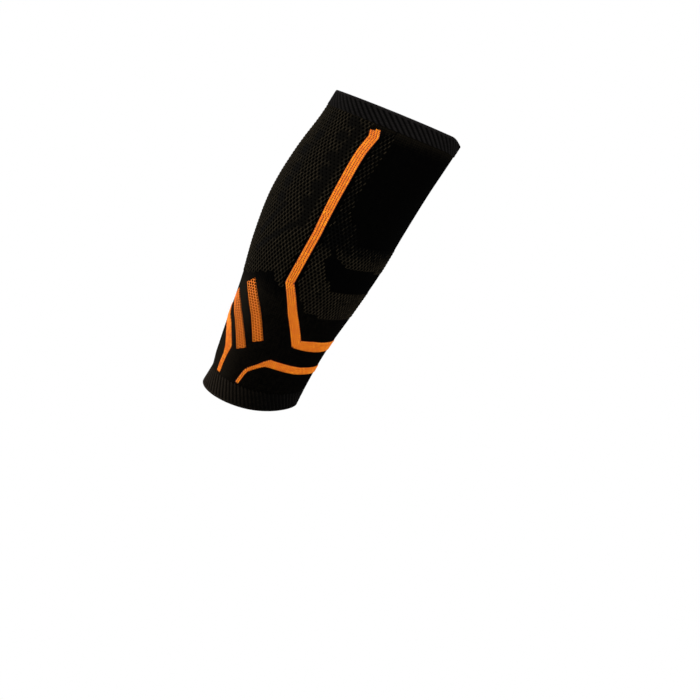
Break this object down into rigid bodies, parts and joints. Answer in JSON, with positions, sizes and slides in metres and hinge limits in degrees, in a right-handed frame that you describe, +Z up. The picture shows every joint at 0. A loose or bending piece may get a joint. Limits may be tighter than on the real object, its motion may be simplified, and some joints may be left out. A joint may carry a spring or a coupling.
{
  "type": "calf compression sleeve",
  "caption": "Knitted tube sleeve for the calf, open at both ends, with a double welt at the knee, a ribbed ankle cuff and coloured knitted-in lines and mesh vents.",
  "frame": {"origin": "on the leg's axis at the widest part of the calf, where the sleeve sits on the leg", "axes": "+Z up the leg to the knee, +X to the shin, -Y to the outer side of the leg"},
  "size_m": [0.1151, 0.1077, 0.2642],
  "materials": {
    "body_knit": "matte black elastic knit, dense panels and open mesh zones",
    "band_knit": "matte black ribbed double welt",
    "cuff_knit": "matte black ribbed cuff",
    "line_knit": "orange yarn knitted into the tube",
    "vent_knit": "orange open mesh knitted into the tube"
  },
  "bodies": {
    "root": {"sleeve_body": "body_knit", "top_band": "band_knit", "bottom_cuff": "cuff_knit", "shin_line": "line_knit", "ankle_line": "line_knit", "back_line": "line_knit", "outer_vent_1": "vent_knit", "outer_vent_2": "vent_knit", "inner_vent_1": "vent_knit", "inner_vent_2": "vent_knit"}
  },
  "joints": []
}
